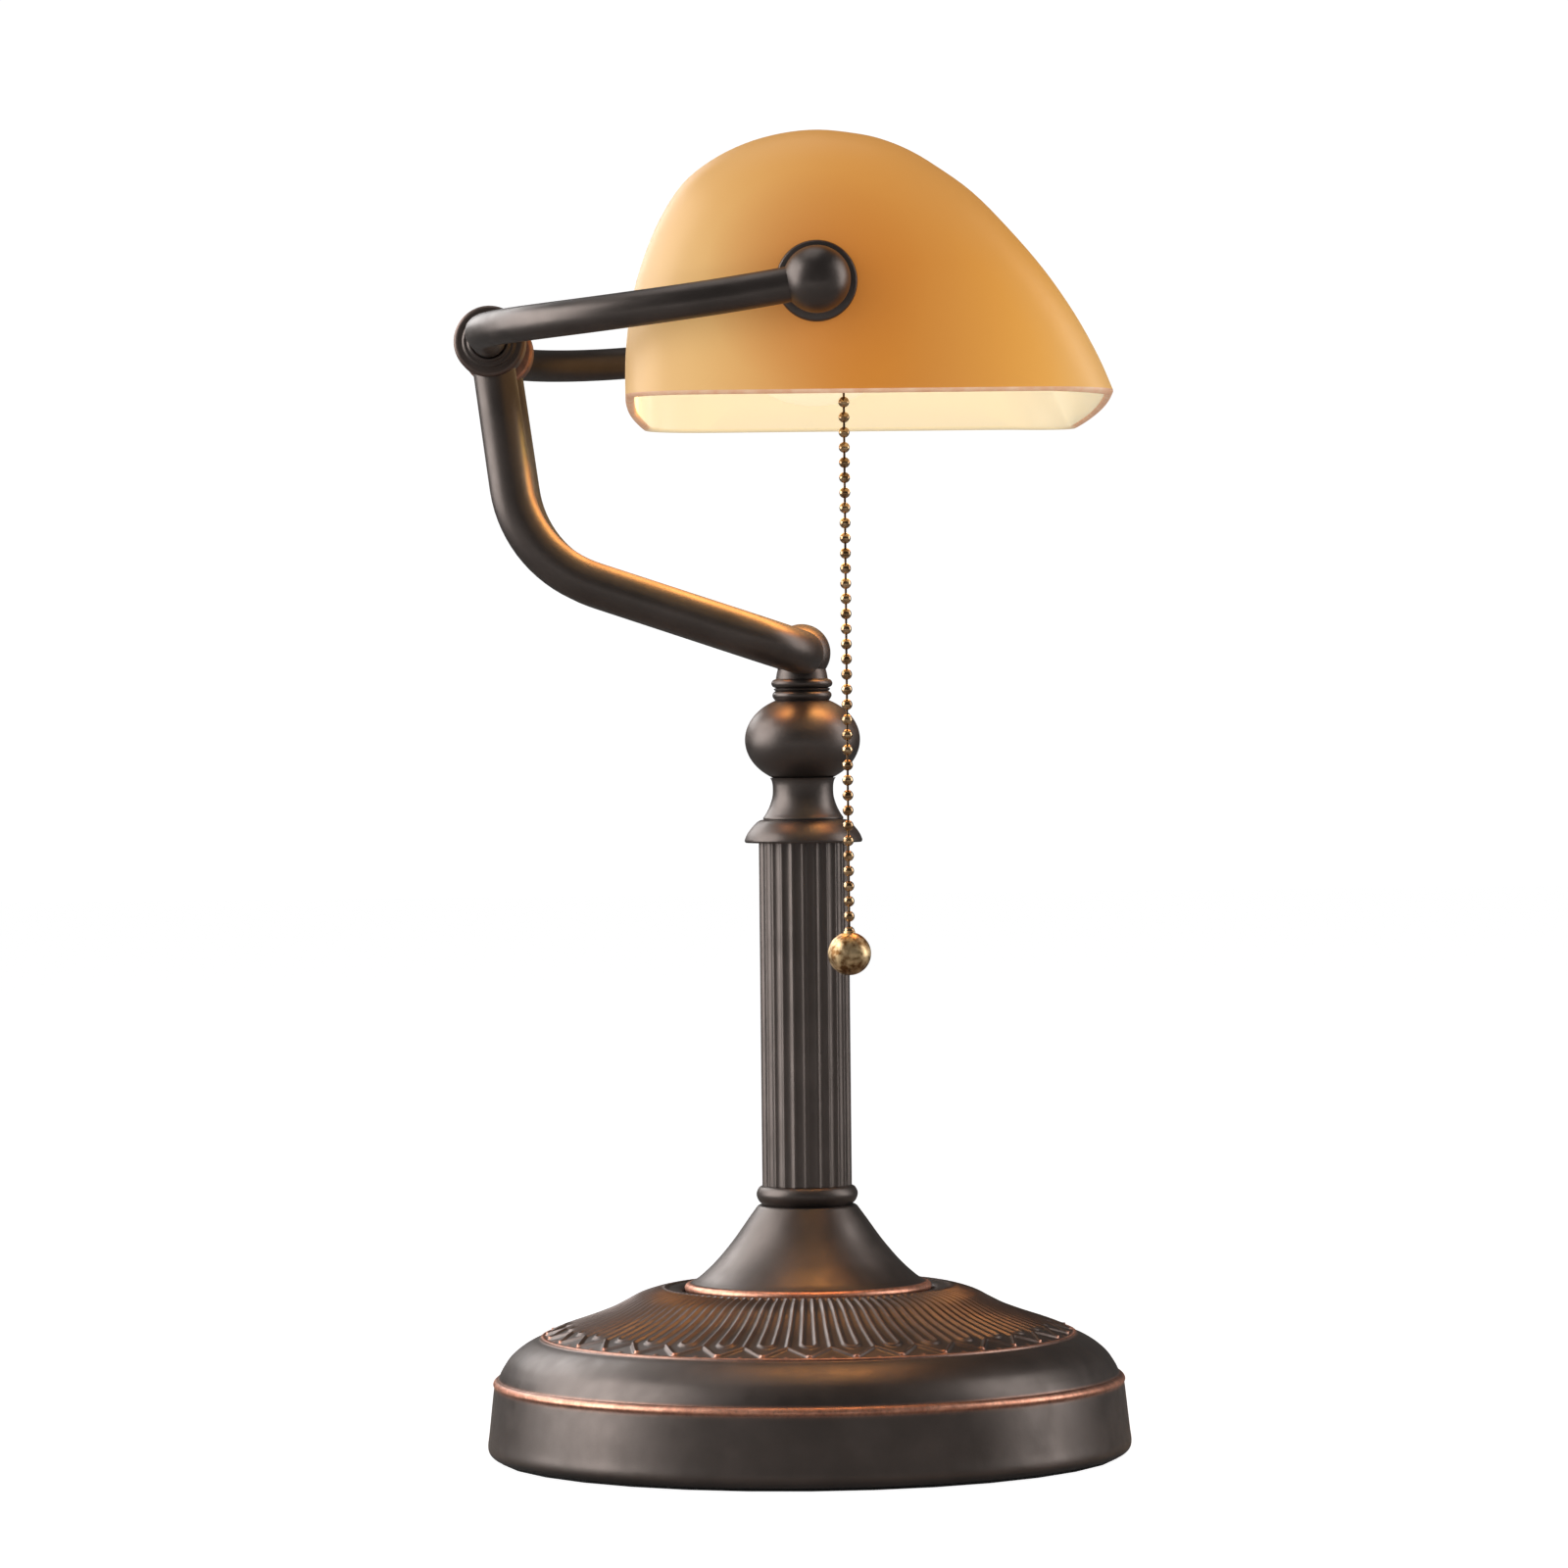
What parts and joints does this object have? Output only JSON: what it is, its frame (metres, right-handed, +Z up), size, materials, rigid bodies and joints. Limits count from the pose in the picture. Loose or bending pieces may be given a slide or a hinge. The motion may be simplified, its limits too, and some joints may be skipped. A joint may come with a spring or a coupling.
{
  "type": "desk lamp",
  "caption": "Banker desk lamp: weighted round base, fluted column, bent-tube yoke and fork, long amber glass shade that tilts, beaded pull chain.",
  "frame": {"origin": "centre of the base's underside, on the column's axis", "axes": "+Z up, +X towards the shade's open front edge, Y along the shade's length"},
  "size_m": [0.2005, 0.3052, 0.3932],
  "materials": {
    "oil_rubbed_bronze": "dark brown oil-rubbed bronze, satin, with copper rubbed through on raised edges",
    "antique_brass": "aged brass",
    "zinc_steel": "zinc plated",
    "nickel_cap": "plain",
    "cast_iron": "as cast",
    "black_felt": "felt",
    "gasket_rubber": "matte",
    "liner_fibre": "pressed fibre card",
    "black_plastic": "matte",
    "amber_glass": "amber opal glass, smooth, milky inside",
    "bulb_glass": "frosted"
  },
  "bodies": {
    "stand": {"ball_knop": "oil_rubbed_bronze", "base_cone": "oil_rubbed_bronze", "base_pad": "black_felt", "base_shell": "oil_rubbed_bronze", "base_weight": "cast_iron", "bulb_cap": "nickel_cap", "bulb_glass": "bulb_glass", "center_contact": "antique_brass", "center_rod": "zinc_steel", "chain_guide": "antique_brass", "column_cap": "oil_rubbed_bronze", "column_foot_ring": "oil_rubbed_bronze", "cord_gland": "black_plastic", "elbow_fitting": "oil_rubbed_bronze", "end_disc_far": "oil_rubbed_bronze", "end_disc_near": "oil_rubbed_bronze", "fluted_column": "oil_rubbed_bronze", "fork_end_ball_far": "oil_rubbed_bronze", "fork_end_ball_near": "oil_rubbed_bronze", "fork_tube": "oil_rubbed_bronze", "hub_eye_far": "oil_rubbed_bronze", "hub_eye_near": "oil_rubbed_bronze", "inner_washer_far": "zinc_steel", "inner_washer_near": "zinc_steel", "neck_ring": "oil_rubbed_bronze", "neck_spool": "oil_rubbed_bronze", "rod_nut": "zinc_steel", "rod_washer": "zinc_steel", "screw_shell": "antique_brass", "shade_nut_far": "antique_brass", "socket_cap": "antique_brass", "socket_liner": "liner_fibre", "socket_shell": "antique_brass", "switch_body": "black_plastic", "threaded_nipple_far": "antique_brass", "threaded_nipple_near": "antique_brass", "yoke_tube": "oil_rubbed_bronze"},
    "shade": {"shade_glass": "amber_glass", "outer_gasket_near": "gasket_rubber", "outer_gasket_far": "gasket_rubber", "inner_gasket_near": "gasket_rubber", "inner_gasket_far": "gasket_rubber"},
    "pull": {"pull_chain": "antique_brass", "pull_ball": "antique_brass"}
  },
  "joints": [
    {"name": "shade_tilt", "type": "hinge", "parent": "stand", "child": "shade", "pos_m": [0.005, 0, 0.3477], "axis": [0, -1, 0], "range_deg": [-132, 190], "deforming": ["pull_chain"]},
    {"name": "pull_switch", "type": "slide", "parent": "stand", "child": "pull", "axis": [0, 0, -1], "range_m": [0, 0.008], "stiffness_N_per_m": 500, "springref_m": -0.006}
  ]
}
